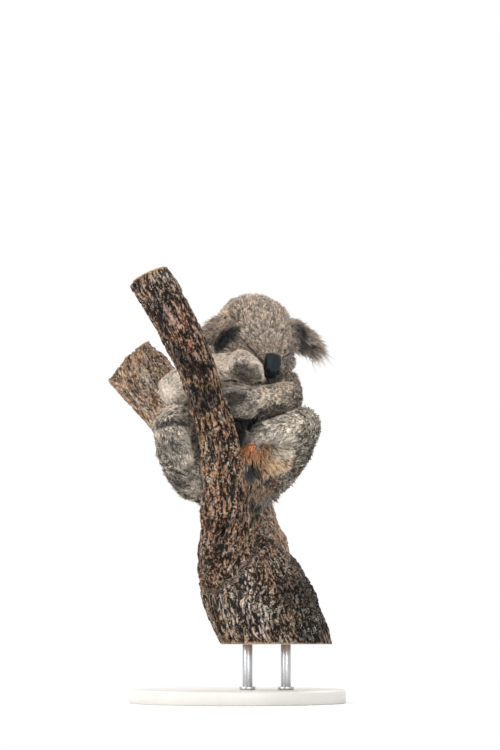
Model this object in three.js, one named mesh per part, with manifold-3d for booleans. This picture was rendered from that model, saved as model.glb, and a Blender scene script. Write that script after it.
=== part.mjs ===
// A koala asleep in the fork of a gum tree, life size, on a display stand.
// Millimetres, +Z up. The koala faces -Y, and its own left side is at +X.
// The origin is the centre of the stand's underside.
import * as THREE from "three";
import { mergeVertices } from "three/addons/utils/BufferGeometryUtils.js";
import Module from "manifold-3d";

const wasm = await Module();
wasm.setup();

// ---------------------------------------------------------------- driving dimensions
const SEAM = 0.35; // gap left between pieces that meet
const BODY_HEIGHT = 485; // the body centre above the floor
const BODY_CENTRE = new THREE.Vector3(5, -45, BODY_HEIGHT); // every shape below is placed from here

const BASE_RADIUS = 178;
const BASE_THICK = 22;
const BASE_CHAMFER = 4;
const ROD_RADIUS = 8;
const ROD_SPREAD = 62; // between the two rods
const ROD_CENTRE = [43, 3]; // half way between them, from the body centre
const TRUNK_FOOT = -390; // level of the trunk's sawn foot, from the body centre

const HEAD_CENTRE = new THREE.Vector3(26, 0, 113);
const HEAD_TURN = 27; // degrees, towards its left
const HEAD_BOW = 40; // degrees, nose down
const HEAD_ROLL = 3; // degrees, left ear down
const EYE = { forward: 55, aside: 33, up: 4, reach: 12 };
const NOSE = { top: [75, 9], tip: [87, -27], wide: 16, deep: 9 };
const EARS = {
  left: { side: 1, forward: -4, aside: 58, up: 19, droop: -0.33, length: 92 },
  right: { side: -1, forward: -2, aside: 50, up: 20, droop: -0.5, length: 76 },
};
const EAR_BROAD = 34;
const EAR_THICK = 15;

// ---------------------------------------------------------------- shaping tools
const vec = ([x, y, z]) => new THREE.Vector3(x, y, z);
const radians = THREE.MathUtils.degToRad;

// A value read from a short list of stations spaced evenly over 0..1.
function along(list, share) {
  if (!Array.isArray(list)) return list;
  const at = share * (list.length - 1);
  const low = Math.min(Math.floor(at), list.length - 2);
  const blend = THREE.MathUtils.smoothstep(at - low, 0, 1) * 0.5 + (at - low) * 0.5;
  return THREE.MathUtils.lerp(list[low], list[low + 1], blend);
}

// A rounded, tapering form that follows a smooth line. wide is the half-width across `up`, deep the
// half-width along it, and ends the lengths over which each end rounds off.
function limb({ path, wide, deep = wide, up = [0, 0, 1], ends, rings = 8, sides = 11 }, grow = 0) {
  const line = new THREE.CatmullRomCurve3(path.map(vec), false, "centripetal");
  const length = line.getLength();
  const upward = vec(up);
  const shape = new THREE.SphereGeometry(1, sides, rings);
  const place = shape.getAttribute("position");
  const [first, last] = ends ?? [along(wide, 0), along(wide, 1)];
  for (let i = 0; i < place.count; i++) {
    const ball = new THREE.Vector3().fromBufferAttribute(place, i);
    const share = (1 - ball.y) / 2;
    const from = share * length;
    const headCap = Math.min(1, from / first);
    const tailCap = Math.min(1, (length - from) / last);
    const roundOff = Math.sqrt(1 - (1 - headCap) ** 2) * Math.sqrt(1 - (1 - tailCap) ** 2);
    const ahead = line.getTangentAt(share);
    const side = new THREE.Vector3().crossVectors(ahead, upward).normalize();
    const top = new THREE.Vector3().crossVectors(side, ahead);
    const turn = Math.atan2(ball.z, ball.x);
    const rim = Math.hypot(ball.x, ball.z) < 1e-6 ? 0 : 1;
    const point = line
      .getPointAt(share)
      .addScaledVector(side, Math.cos(turn) * (along(wide, share) * roundOff + grow) * rim)
      .addScaledVector(top, Math.sin(turn) * (along(deep, share) * roundOff + grow) * rim)
      .addScaledVector(ahead, rim ? 0 : Math.sign(share - 0.5) * grow);
    place.setXYZ(i, point.x, point.y, point.z);
  }
  return solid(shape);
}

// A closed three.js geometry as a solid that can be joined and cut.
function solid(geometry) {
  const bare = geometry.clone();
  for (const name of ["normal", "uv"]) bare.deleteAttribute(name);
  const merged = mergeVertices(bare, 1e-4);
  const vertProperties = new Float32Array(merged.getAttribute("position").array);
  const triVerts = new Uint32Array(merged.index.array);
  const made = new wasm.Manifold(new wasm.Mesh({ numProp: 3, vertProperties, triVerts }));
  if (made.volume() > 0) return made;
  const insideOut = triVerts.reverse();
  return new wasm.Manifold(new wasm.Mesh({ numProp: 3, vertProperties, triVerts: insideOut }));
}

const joined = (...solids) => solids.reduce((a, b) => a.add(b));

// ---------------------------------------------------------------- the head's own frame
const headTurn = new THREE.Matrix4()
  .makeRotationZ(radians(HEAD_TURN))
  .multiply(new THREE.Matrix4().makeRotationX(radians(HEAD_BOW)))
  .multiply(new THREE.Matrix4().makeRotationY(radians(HEAD_ROLL)));

// A point of the head: forward to the nose, aside to its left, and up to the crown.
function onHead(forward, aside, up) {
  return new THREE.Vector3(aside, -forward, up).applyMatrix4(headTurn).add(HEAD_CENTRE).toArray();
}
function headWay(forward, aside, up) {
  return new THREE.Vector3(aside, -forward, up).applyMatrix4(headTurn).normalize().toArray();
}
const headUp = headWay(0, 0, 1);

// ---------------------------------------------------------------- the forked perch
const FRONT_BRANCH = {
  path: [
    [6, -10, -310], [-18, -34, -246], [-24, -68, -180], [-27, -94, -125], [-35, -116, -70],
    [-52, -133, -8], [-72, -140, 52], [-101, -144, 112], [-134, -146, 168], [-156, -146, 204],
  ],
  wide: [60, 56, 40, 35, 33, 31, 32, 34, 35, 34],
};
const REAR_BRANCH = {
  path: [
    [20, 4, -305], [28, 52, -256], [18, 118, -208], [-4, 184, -136], [-70, 220, -40],
    [-150, 236, 56], [-212, 240, 120],
  ],
  wide: [62, 56, 49, 48, 50, 53, 53],
};
const TRUNK = {
  path: [
    [80, 6, -440], [64, 4, -392], [50, 2, -358], [33, 0, -325], [16, 0, -290], [8, 4, -252],
    [8, 12, -222],
  ],
  wide: [80, 82, 86, 89, 87, 76, 50],
};

// A length of bark-covered wood, sawn across at a level or square to its end.
function wood({ path, wide }, grow) {
  const form = { path, wide, up: [0, 1, 0.2], ends: [1, 1], rings: path.length * 2, sides: 12 };
  return limb(form, grow);
}

// A block that covers everything beyond a plane.
function beyond(point, way) {
  const far = 900;
  const turn = new THREE.Quaternion().setFromUnitVectors(
    new THREE.Vector3(0, 0, 1),
    vec(way).normalize(),
  );
  const block = new THREE.BoxGeometry(far, far, far).translate(0, 0, far / 2);
  return solid(block.applyQuaternion(turn).translate(...point));
}

// ---------------------------------------------------------------- where hands and feet hold the branch
const frontLine = new THREE.CatmullRomCurve3(FRONT_BRANCH.path.map(vec), false, "centripetal");

// A point off the front branch: at a level, at an angle round it (0 is its back, 90 its +X side),
// and a height above the bark.
function offBranch(level, angle, above) {
  let share = 0.5;
  for (let step = 0.25; step > 1e-4; step /= 2) {
    share += frontLine.getPointAt(share).z < level ? step : -step;
  }
  const radius = along(FRONT_BRANCH.wide, share) + above;
  const centre = frontLine.getPointAt(share);
  const turn = radians(angle);
  return [centre.x + Math.sin(turn) * radius, centre.y + Math.cos(turn) * radius, centre.z];
}

// A grip is a row of digits that follow the bark round from one angle to another. The digits sink
// a little on the way, and each ends in a claw.
const DIGIT = 7.5; // half the thickness of a finger or toe
const DIGIT_SINK = 3;
function grip(levels, from, to) {
  return levels.map((level) => ({ level, from, to, way: Math.sign(to - from) }));
}
function digit({ level, from, to }, grow) {
  const path = [0, 0.5, 1].map((t) =>
    offBranch(level - DIGIT_SINK * t, from + (to - from) * t, DIGIT * 0.9),
  );
  const wide = [DIGIT, DIGIT * 1.05, DIGIT * 0.8];
  return limb({ path, wide, ends: [DIGIT, DIGIT], rings: 4, sides: 6 }, grow);
}
function claw({ level, to, way }, grow) {
  const root = level - DIGIT_SINK;
  const path = [
    offBranch(root, to, DIGIT * 1.5),
    offBranch(root - 2, to + way * 6, DIGIT * 1.6),
    offBranch(root - 6, to + way * 14, DIGIT * 0.9),
  ];
  return limb({ path, wide: [DIGIT * 0.55, DIGIT * 0.5, 1], ends: [2, 2], rings: 4, sides: 6 }, grow);
}

// ---------------------------------------------------------------- the named pieces
// Each is a function of how much it is grown. A piece is cut by every piece before it in this list.
const pieces = new Map();
const FRONT = [0, -1, 0.1]; // the way the koala faces, for the forms that lie across its body

function limbPiece(name, form) {
  pieces.set(name, (g) => limb({ up: FRONT, ...form }, g));
}

const sawn = {
  trunk: beyond([0, 0, TRUNK_FOOT], [0, 0, -1]),
  front: beyond([-142, -146, 190], [-0.5, 0, 1]),
  rear: beyond([-200, 240, 108], [-1, 0, 1]),
};
pieces.set("perch_trunk", (g) => wood(TRUNK, g).subtract(sawn.trunk));
pieces.set("perch_front_branch", (g) => wood(FRONT_BRANCH, g).subtract(sawn.front));
pieces.set("perch_rear_branch", (g) => wood(REAR_BRANCH, g).subtract(sawn.rear));

// Nose pad, a little broader in its middle than at either end.
pieces.set("nose", (g) => {
  const [topForward, topUp] = NOSE.top;
  const [tipForward, tipUp] = NOSE.tip;
  return limb(
    {
      path: [
        onHead(topForward - 6, 0, topUp + 4),
        onHead((topForward + tipForward) / 2 + 1, 0, (topUp + tipUp) / 2),
        onHead(tipForward - 7, 0, tipUp),
      ],
      wide: [NOSE.wide * 0.92, NOSE.wide, NOSE.wide * 0.88],
      deep: NOSE.deep,
      up: headWay(1, 0, 0.45),
      ends: [4, 7],
      rings: 7,
      sides: 10,
    },
    g,
  );
});

for (const [name, { side, forward, aside, up, droop, length }] of Object.entries(EARS)) {
  // The closed eye is an almond that slants down to the nose.
  pieces.set(`eye_${name}`, (g) =>
    limb(
      {
        path: [
          onHead(EYE.forward - 4, (EYE.aside + EYE.reach) * side, EYE.up + 4),
          onHead(EYE.forward, EYE.aside * side, EYE.up),
          onHead(EYE.forward + 5, (EYE.aside - EYE.reach) * side, EYE.up - 8),
        ],
        wide: [5, 8.5, 5],
        deep: [6, 9, 6],
        up: headWay(1, 0.6 * side, 0.2),
        ends: [8, 8],
        rings: 6,
        sides: 8,
      },
      g,
    ),
  );
  // The ear is a cupped flap with a rounded tip, hollow on its front.
  const step = (far, ahead) =>
    onHead(forward + far * 0.2 + ahead, (aside + far * 0.94) * side, up + far * droop);
  const facing = headWay(1, -0.25 * side, 0.05);
  pieces.set(`ear_${name}`, (g) => {
    const flap = limb(
      {
        path: [step(-14, -4), step(length * 0.35, -5), step(length - 8, 3)],
        wide: [EAR_BROAD * 0.92, EAR_BROAD * 0.88, EAR_BROAD * 0.28],
        deep: [EAR_THICK, EAR_THICK * 0.9, EAR_THICK * 0.55],
        up: facing,
        ends: [14, 22],
        rings: 7,
        sides: 11,
      },
      g,
    );
    const hollow = limb(
      {
        path: [step(-8, 15), step(length * 0.28, 13), step(length * 0.62, 17)],
        wide: [EAR_BROAD * 0.4, EAR_BROAD * 0.66, EAR_BROAD * 0.42],
        deep: [11, 13, 8],
        up: facing,
        ends: [14, 16],
        rings: 5,
        sides: 8,
      },
      -g,
    );
    return flap.subtract(hollow);
  });
}

// Left hand: it holds the back of the branch, three fingers one way and two thumbs the other.
const LEFT_HOLD = [...grip([16, 2, -12], -8, -34), ...grip([-16, -28], 8, 32)];
LEFT_HOLD.forEach((d, i) => pieces.set(`claw_hand_left_${i + 1}`, (g) => claw(d, g)));
pieces.set("hand_left", (g) =>
  joined(
    limb(
      {
        path: [[34, -76, -6], [6, -78, -5], [-30, -80, 0], [-66, -84, 2]],
        wide: [27, 28, 26, 20],
        deep: [26, 27, 23, 16],
        ends: [14, 14],
        up: FRONT,
      },
      g,
    ),
    ...LEFT_HOLD.map((d) => digit(d, g)),
  ),
);

// Right hand: its fingers are curled under the chin.
const CURLED = [-2, 7, 16, 24].map((shift, i) => [
  [30 + i * 2 - shift * 0.3, -76 + shift * 0.5, 46 - shift * 0.2],
  [36 + i - shift * 0.6, -62 + shift * 0.4, 32],
  [22 - shift * 0.7, -52 + shift * 0.25, 27],
]);
CURLED.forEach(([, , [x, y, z]], i) =>
  pieces.set(`claw_hand_right_${i + 1}`, (g) => {
    const path = [[x, y, z], [x - 8, y + 3, z + 1], [x - 15, y + 7, z + 6]];
    return limb({ path, wide: [3.6, 3.2, 0.9], ends: [2, 2], rings: 4, sides: 6 }, g);
  }),
);

// Feet: the soles press on the back of the branch and the toes curl round it. The first toe of
// each stands apart, as a thumb does.
const FEET = {
  left: {
    toes: grip([-62, -70, -81, -92], -6, -34),
    sole: [[22, -70, -60], [0, -66, -67], [-28, -62, -73], [-58, -68, -78]],
    firstToe: [[16, -72, -64], [22, -88, -74], [16, -104, -84]],
  },
  right: {
    toes: grip([-128, -137, -149, -161], 6, 34),
    sole: [[-82, -74, -114], [-62, -58, -124], [-36, -46, -136], [-12, -46, -146]],
    firstToe: [[-68, -60, -120], [-64, -78, -130], [-56, -92, -138]],
  },
};
for (const [name, { toes }] of Object.entries(FEET)) {
  toes.forEach((d, i) => pieces.set(`claw_foot_${name}_${i + 1}`, (g) => claw(d, g)));
}
for (const [name, { toes, sole, firstToe }] of Object.entries(FEET)) {
  pieces.set(`foot_${name}`, (g) =>
    joined(
      limb(
        { path: sole, wide: [17, 20, 22, 18], deep: [15, 17, 16, 13], ends: [12, 12], up: FRONT },
        g,
      ),
      ...toes.map((d) => digit(d, g)),
      limb({ path: firstToe, wide: [12, 11, 9], ends: [9, 9], rings: 5, sides: 8 }, g),
    ),
  );
}

// Arms, folded across the chest, the right one on top.
pieces.set("hand_right", (g) =>
  joined(
    limb(
      {
        path: [[-16, -77, 56], [2, -80, 55], [22, -82, 46], [40, -82, 39]],
        wide: [25, 27, 21.5, 17],
        deep: [24, 26, 24, 19],
        ends: [10, 19],
        up: FRONT,
      },
      g,
    ),
    ...CURLED.map((path) =>
      limb({ path, wide: [9, 8.5, 6.5], ends: [8, 6], rings: 4, sides: 6 }, g),
    ),
  ),
);
limbPiece("forearm_right", {
  path: [[-123, -12, 7], [-98, -34, 28], [-54, -62, 50], [-2, -78, 55]],
  wide: [32, 29, 24, 23],
  deep: [31, 26, 23, 23],
  ends: [20, 8],
});
limbPiece("forearm_left", {
  path: [[96, -28, 12], [72, -48, 6], [44, -66, 0], [22, -78, -5]],
  wide: [30, 30, 28, 27],
  deep: [28, 29, 27, 26],
  ends: [26, 8],
});

// Head: cranium and short muzzle in one sweep, with full cheeks.
pieces.set("head", (g) => {
  const skull = {
    path: [
      onHead(-80, 0, -2), onHead(-40, 0, 2), onHead(0, 0, 0), onHead(38, 0, -8),
      onHead(66, 0, -16), onHead(84, 0, -22),
    ],
    wide: [48, 66, 69, 58, 38, 24],
    deep: [45, 62, 66, 57, 38, 24],
    up: headUp,
    ends: [56, 20],
    rings: 11,
    sides: 13,
  };
  const cheek = (side) => ({
    path: [onHead(-14, 41 * side, -22), onHead(22, 42 * side, -24), onHead(53, 26 * side, -26)],
    wide: [32, 32, 22],
    deep: [34, 33, 22],
    up: headUp,
    ends: [26, 20],
    rings: 7,
    sides: 10,
  });
  return joined(limb(skull, g), limb(cheek(1), g), limb(cheek(-1), g));
});

// Legs: the knees are drawn up to the elbows and the shins turned in to the branch.
limbPiece("shin_left", {
  path: [[112, -66, -36], [84, -76, -46], [50, -82, -52], [18, -84, -57]],
  wide: [32, 27, 21, 16],
  deep: [31, 26, 20, 16],
  ends: [24, 8],
});
limbPiece("shin_right", {
  path: [[-112, -60, -24], [-108, -76, -52], [-96, -82, -84], [-82, -80, -110]],
  wide: [33, 30, 23, 17],
  deep: [31, 28, 21, 16],
  ends: [19, 8],
});
limbPiece("upper_arm_left", {
  path: [[34, 62, 70], [53, 34, 50], [69, 2, 28], [81, -28, 10]],
  wide: [40, 40, 34, 30],
  deep: [38, 41, 36, 30],
  ends: [30, 24],
});
limbPiece("upper_arm_right", {
  path: [[-36, 66, 54], [-62, 38, 40], [-90, 8, 27], [-108, -12, 18]],
  wide: [38, 40, 36, 31],
  deep: [36, 38, 34, 31],
  ends: [30, 24],
});
limbPiece("thigh_left", {
  path: [[18, 122, -106], [40, 82, -96], [72, 20, -74], [95, -44, -43], [100, -82, -36]],
  wide: [50, 52, 45, 39, 34],
  deep: [50, 56, 49, 39, 34],
  ends: [42, 26],
  rings: 9,
  sides: 12,
  up: [0, 0, 1],
});
limbPiece("thigh_right", {
  path: [[-44, 124, -112], [-62, 84, -104], [-91, 20, -79], [-104, -44, -42], [-107, -80, -35]],
  wide: [54, 56, 47, 41, 36],
  deep: [52, 58, 51, 40, 36],
  ends: [42, 20],
  rings: 9,
  sides: 12,
  up: [0, 0, 1],
});

// The round body, and the neck that the head is sunk upon.
limbPiece("neck", {
  path: [[4, 60, 50], [8, 46, 82], [10, 24, 112]],
  wide: [72, 68, 64],
  deep: [66, 62, 54],
  ends: [20, 20],
  rings: 5,
  sides: 12,
});
limbPiece("trunk", {
  path: [
    [-12, 52, -185], [-12, 62, -140], [-10, 68, -84], [-8, 66, -24], [-4, 54, 40], [4, 40, 96],
  ],
  wide: [62, 78, 94, 97, 90, 62],
  deep: [60, 82, 96, 100, 90, 62],
  ends: [58, 44],
  rings: 11,
  sides: 14,
});

// ---------------------------------------------------------------- cutting and naming
const PAINT = {
  coat: { color: 0x8d8379, roughness: 0.95 },
  leather: { color: 0x1d1d20, roughness: 0.55 },
  horn: { color: 0x2b2623, roughness: 0.45 },
  bark: { color: 0x5d463a, roughness: 0.95 },
  base: { color: 0xd9d6d0, roughness: 0.6 },
  steel: { color: 0xb9bbbd, roughness: 0.35, metalness: 1 },
};
function paintOf(name) {
  if (name.startsWith("perch")) return PAINT.bark;
  if (name.startsWith("claw")) return PAINT.horn;
  if (name === "nose") return PAINT.leather;
  return PAINT.coat;
}

function meshOf(name, made, paint) {
  const raw = made.getMesh();
  const geometry = new THREE.BufferGeometry()
    .setAttribute("position", new THREE.BufferAttribute(new Float32Array(raw.vertProperties), 3))
    .setIndex(new THREE.BufferAttribute(new Uint32Array(raw.triVerts), 1));
  geometry.computeVertexNormals();
  const mesh = new THREE.Mesh(geometry, new THREE.MeshStandardMaterial({ metalness: 0, ...paint }));
  mesh.name = name;
  return mesh;
}

const figure = new THREE.Group();
figure.position.copy(BODY_CENTRE);
const before = [];
for (const [name, form] of pieces) {
  let made = form(0);
  for (const other of before) made = made.subtract(other);
  const bodies = made.decompose().sort((a, b) => b.volume() - a.volume());
  figure.add(meshOf(name, bodies[0], paintOf(name)));
  before.push(form(SEAM));
}

// ---------------------------------------------------------------- the display stand
const rim = [
  [0, 0],
  [BASE_RADIUS, 0],
  [BASE_RADIUS, BASE_THICK - BASE_CHAMFER],
  [BASE_RADIUS - BASE_CHAMFER, BASE_THICK],
  [0, BASE_THICK],
].map(([x, y]) => new THREE.Vector2(x, y));
const board = solid(new THREE.LatheGeometry(rim, 40).rotateX(Math.PI / 2));
const stand = new THREE.Group();
stand.add(meshOf("stand_base", board, PAINT.base));

const rodLength = BODY_HEIGHT + TRUNK_FOOT - BASE_THICK - 2 * SEAM;
const rodShape = new THREE.CylinderGeometry(ROD_RADIUS, ROD_RADIUS, rodLength, 16);
const rodSolid = solid(rodShape.rotateX(Math.PI / 2));
for (const [name, side] of [["left", 1], ["right", -1]]) {
  const rod = meshOf(`stand_rod_${name}`, rodSolid, PAINT.steel);
  rod.position.set(
    BODY_CENTRE.x + ROD_CENTRE[0] + (side * ROD_SPREAD) / 2,
    BODY_CENTRE.y + ROD_CENTRE[1],
    BASE_THICK + SEAM + rodLength / 2,
  );
  stand.add(rod);
}

const koala = new THREE.Group();
koala.add(figure, stand);
export default koala;
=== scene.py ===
# A koala asleep in the fork of a gum tree, as a life-size museum model on a plain display stand.
# Everything is in metres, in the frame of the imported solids: the koala faces -Y, +Z is up.
import math

import bmesh
import bpy
import numpy as np
from mathutils import Matrix, Vector, kdtree, noise
from mathutils.bvhtree import BVHTree


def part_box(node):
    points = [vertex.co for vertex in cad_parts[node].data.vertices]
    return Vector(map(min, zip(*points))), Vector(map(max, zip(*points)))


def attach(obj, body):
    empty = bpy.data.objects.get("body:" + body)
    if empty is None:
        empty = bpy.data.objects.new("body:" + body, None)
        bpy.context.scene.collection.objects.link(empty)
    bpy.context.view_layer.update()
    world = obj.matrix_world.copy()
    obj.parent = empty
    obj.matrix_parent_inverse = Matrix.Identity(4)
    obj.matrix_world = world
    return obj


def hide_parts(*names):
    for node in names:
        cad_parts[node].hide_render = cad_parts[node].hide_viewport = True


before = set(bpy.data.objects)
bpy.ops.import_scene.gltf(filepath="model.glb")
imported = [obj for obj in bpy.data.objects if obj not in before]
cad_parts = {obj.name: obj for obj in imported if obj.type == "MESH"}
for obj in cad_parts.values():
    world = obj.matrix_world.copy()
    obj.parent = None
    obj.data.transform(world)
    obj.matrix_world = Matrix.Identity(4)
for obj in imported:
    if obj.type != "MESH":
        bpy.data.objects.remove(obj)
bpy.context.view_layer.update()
scene = bpy.context.scene
MM = 0.001

# -------- camera
# A long lens low in front of the stand, looking a little up at the sleeping animal. It aims at
# the folded arms, so that the whole fork and its stand are in view.
CAMERA_DISTANCE = 3.2
CAMERA_LOOKS_UP = math.radians(8)
FRAME_HEIGHT_AT_KOALA = 1.2375


def middle(node):
    low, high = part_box(node)
    return (low + high) / 2


aim = middle("stand_base") + Vector((21, -45, 524)) * MM
lens = bpy.data.cameras.new("camera")
lens.sensor_width = 36
lens.lens = lens.sensor_width * CAMERA_DISTANCE / FRAME_HEIGHT_AT_KOALA
camera = bpy.data.objects.new("camera", lens)
looking = Vector((0, math.cos(CAMERA_LOOKS_UP), math.sin(CAMERA_LOOKS_UP)))
camera.location = aim - looking * CAMERA_DISTANCE
camera.rotation_euler = looking.to_track_quat("-Z", "Y").to_euler()
scene.collection.objects.link(camera)
scene.camera = camera

# -------- skin
# The koala's skin is one closed hide over the whole body, with no seam between the limbs. It is
# grown from the solids, whose surface is at the tips of the coat, by fusing them and sinking the
# result by the depth of the coat. It is darker than the fur, and shows only where the fur parts.
FLESH = [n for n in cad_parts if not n.startswith(("perch", "stand", "claw"))]
SKIN_GRAIN = 2.8 * MM

# For each part of the body: how deep the coat is, how long its hair, how steeply it stands from
# the skin (degrees), how wide a tuft is and how far apart the tufts are, all in mm but the angle,
# and how strongly the wool parts in dark wavy lines, from 0 for not at all.
COAT = {
    "head": (5, 7.4, 34, 1.1, 1.15, 0.7),
    "nose": (2.5, 3, 20, 0.9, 1.2, 0),
    "eye": (2.5, 7, 26, 0.8, 0.95, 0),
    "ear": (3.5, 14, 26, 1.0, 1.2, 0.3),
    "neck": (6, 12, 27, 1.6, 1.7, 0.5),
    "trunk": (6.5, 13, 26, 1.8, 2.12, 0.7),
    "upper_arm": (5.5, 10, 30, 1.5, 1.55, 0.6),
    "forearm": (4.5, 8.5, 31, 1.35, 1.38, 0.6),
    "hand": (3.5, 7, 27, 1.15, 1.15, 0.35),
    "thigh": (5.5, 10.5, 28, 1.6, 1.75, 1.15),
    "shin": (5, 9, 30, 1.4, 1.48, 1),
    "foot": (3.5, 7, 27, 1.15, 1.15, 0.5),
}
COAT_COLUMNS = ("depth", "length", "lift", "width", "spacing", "parting")
EAR_SHRINK = 0.74  # the ear's own flap, inside its long fringe


def merged_copy(names):
    """One bmesh holding copies of some nodes, with their loose triangles joined."""
    shell = bmesh.new()
    for name in names:
        shell.from_mesh(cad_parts[name].data)
    bmesh.ops.remove_doubles(shell, verts=shell.verts, dist=1e-6)
    return shell


def show(mesh_or_bmesh, name):
    """A new object at the origin that holds this mesh."""
    mesh = mesh_or_bmesh
    if isinstance(mesh, bmesh.types.BMesh):
        mesh = bpy.data.meshes.new(name)
        mesh_or_bmesh.to_mesh(mesh)
        mesh_or_bmesh.free()
    mesh.name = name
    piece = bpy.data.objects.new(name, mesh)
    scene.collection.objects.link(piece)
    return piece


def fused(shell, grain, name):
    """The outer surface of overlapping shells, as one even mesh."""
    piece = show(shell, name)
    remesh = piece.modifiers.new("fuse", "REMESH")
    remesh.mode = "VOXEL"
    remesh.voxel_size = grain
    remesh.use_smooth_shade = True
    done = bpy.data.meshes.new_from_object(piece.evaluated_get(bpy.context.evaluated_depsgraph_get()))
    bpy.data.objects.remove(piece)
    return show(done, name)


def read(items, field, width, kind=np.float64):
    values = np.empty(len(items) * width, kind)
    items.foreach_get(field, values)
    return values.reshape(-1, width) if width > 1 else values


def spread(mesh, values, rounds, share=0.5):
    """Values at the vertices, evened out over their neighbours."""
    ends = read(mesh.edges, "vertices", 2, np.int32)
    count = len(mesh.vertices)
    near = np.bincount(ends.ravel(), minlength=count)[:, None]
    values = np.array(values, float).reshape(count, -1)
    for _ in range(rounds):
        total = np.empty_like(values)
        for k in range(values.shape[1]):
            total[:, k] = np.bincount(ends[:, 0], values[ends[:, 1], k], count)
            total[:, k] += np.bincount(ends[:, 1], values[ends[:, 0], k], count)
        values += (total / near - values) * share
    return values


def set_places(mesh, places):
    mesh.vertices.foreach_set("co", np.asarray(places, np.float32).ravel())
    mesh.update()


def unit(vectors):
    return vectors / np.maximum(np.linalg.norm(vectors, axis=-1, keepdims=True), 1e-9)


def nearest_node(names):
    """A function from points to the index of the named node that each lies on or nearest."""
    shells = []
    owner = []
    points = []
    for i, name in enumerate(names):
        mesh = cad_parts[name].data
        start = len(points)
        points += [v.co.copy() for v in mesh.vertices]
        faces = [[start + k for k in p.vertices] for p in mesh.polygons]
        shells += faces
        owner += [i] * len(faces)
    tree = BVHTree.FromPolygons(points, shells)
    return lambda places: np.array([owner[tree.find_nearest(Vector(p))[2]] for p in places])


def part_of(name):
    """The part of the body that a node is, without its side."""
    return next(part for part in COAT if name.startswith(part))


which_node = nearest_node(FLESH)
coat_rows = np.array([COAT[part_of(n)] for n in FLESH], float)
BODY_GROUPS = [("head", "nose", "eye", "neck", "trunk")]
BODY_GROUPS += [
    tuple(f"{part}_{side}" for part in limb) + ("trunk",)
    for side in ("left", "right")
    for limb in (("upper_arm", "forearm", "hand"), ("thigh", "shin", "foot"))
]


def sunk(names):
    """Some parts of the body, fused, smoothed at no loss of bulk, and sunk by the coat's depth."""
    hide = fused(merged_copy(names), SKIN_GRAIN, "group")
    faceted = read(hide.data.vertices, "co", 3)
    places = spread(hide.data, faceted, 10)
    set_places(hide.data, places)
    way_out = unit(spread(hide.data, read(hide.data.vertices, "normal", 3), 4))
    lost = spread(hide.data, np.sum((faceted - places) * way_out, axis=1), 20)
    depth = spread(hide.data, coat_rows[which_node(faceted), 0] * MM, 8)
    set_places(hide.data, places + way_out * (lost - depth))
    mesh = hide.data
    bpy.data.objects.remove(hide)
    return mesh


shell = bmesh.new()
for group in BODY_GROUPS:
    shell.from_mesh(sunk([n for n in FLESH if n.startswith(group)]))
head_middle = middle("head")
for ear in ("ear_left", "ear_right"):
    flap = merged_copy([ear])
    root = middle(ear).lerp(head_middle, 0.45)
    bmesh.ops.scale(flap, vec=(EAR_SHRINK,) * 3, space=Matrix.Translation(-root), verts=flap.verts)
    spare = bpy.data.meshes.new("flap")
    flap.to_mesh(spare)
    flap.free()
    shell.from_mesh(spare)
skin = fused(shell, SKIN_GRAIN, "skin")
set_places(skin.data, spread(skin.data, read(skin.data.vertices, "co", 3), 3))


def fade(distance, inner, outer):
    """1 inside a distance, 0 beyond another, and smooth in between."""
    share = np.clip((outer - distance) / (outer - inner), 0, 1)
    return share * share * (3 - 2 * share)


def inside(spots, centre, radii, edge):
    """1 inside a soft patch and 0 outside. Its edge starts and ends at shares of its radii."""
    return fade(np.linalg.norm((spots - np.array(centre)) / radii, axis=1), *edge)


# Both eyes are shut: a crease runs along each, between its lids, and on towards the nose. These
# are its points, in mm along the eye's long axis from its middle and above that axis.
CREASE = ((-18, 1), (-9, 4), (2, 5), (12, 5), (24, 3))


def face_on(places, way):
    """Points laid flat on the plane through the origin square to a way."""
    return places - (places @ way)[:, None] * way


def slit_of(side, face):
    """The crease of one closed eye, as points on the hide of the face, and the way out of it."""
    corners = read(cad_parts[f"eye_{side}"].data.vertices, "co", 3)
    centre = corners.mean(axis=0)
    ahead = np.linalg.svd(corners - centre, full_matrices=False)[2][0]
    ahead *= np.sign(ahead @ (np.array(middle("nose")) - centre))
    above = unit(np.array((0, 0, 1.0)) - ahead * ahead[2])
    outward = unit(centre - np.array(head_middle))
    line = []
    for t, h in CREASE:
        off = face - (centre + (ahead * t + above * h) * MM)
        miss = np.linalg.norm(face_on(off, outward), axis=1)
        line.append(face[np.argmin(miss + (off @ outward < -15 * MM))])
    return np.array(line), outward


def gap_to(places, line):
    """How far points are from a line of straight stretches."""
    nearest = np.full(len(places), np.inf)
    for start, end in zip(line, line[1:]):
        way = end - start
        share = np.clip((places - start) @ way / (way @ way), 0, 1)[:, None]
        nearest = np.minimum(nearest, np.linalg.norm(places - start - way * share, axis=1))
    return nearest


places = read(skin.data.vertices, "co", 3)
facing = read(skin.data.vertices, "normal", 3)
owner = which_node(places)
face = places[np.isin(owner, [FLESH.index(n) for n in ("head", "eye_left", "eye_right")])]
slits = [slit_of(side, face) for side in ("left", "right")]
for line, outward in slits:
    places -= facing * (fade(gap_to(places, line), 1.5 * MM, 7 * MM) * 2.5 * MM)[:, None]
set_places(skin.data, places)

LAP = np.array(middle("stand_base") + Vector((5, -45, 474)) * MM)  # between the arms and the knees
bpy.context.view_layer.objects.active = skin
skin.select_set(True)
bpy.ops.object.mode_set(mode="EDIT")
bpy.ops.mesh.select_all(action="SELECT")
bpy.ops.uv.smart_project(angle_limit=math.radians(66), island_margin=0.002)
bpy.ops.object.mode_set(mode="OBJECT")
skin.data.uv_layers[0].name = "OFBake"

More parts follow.
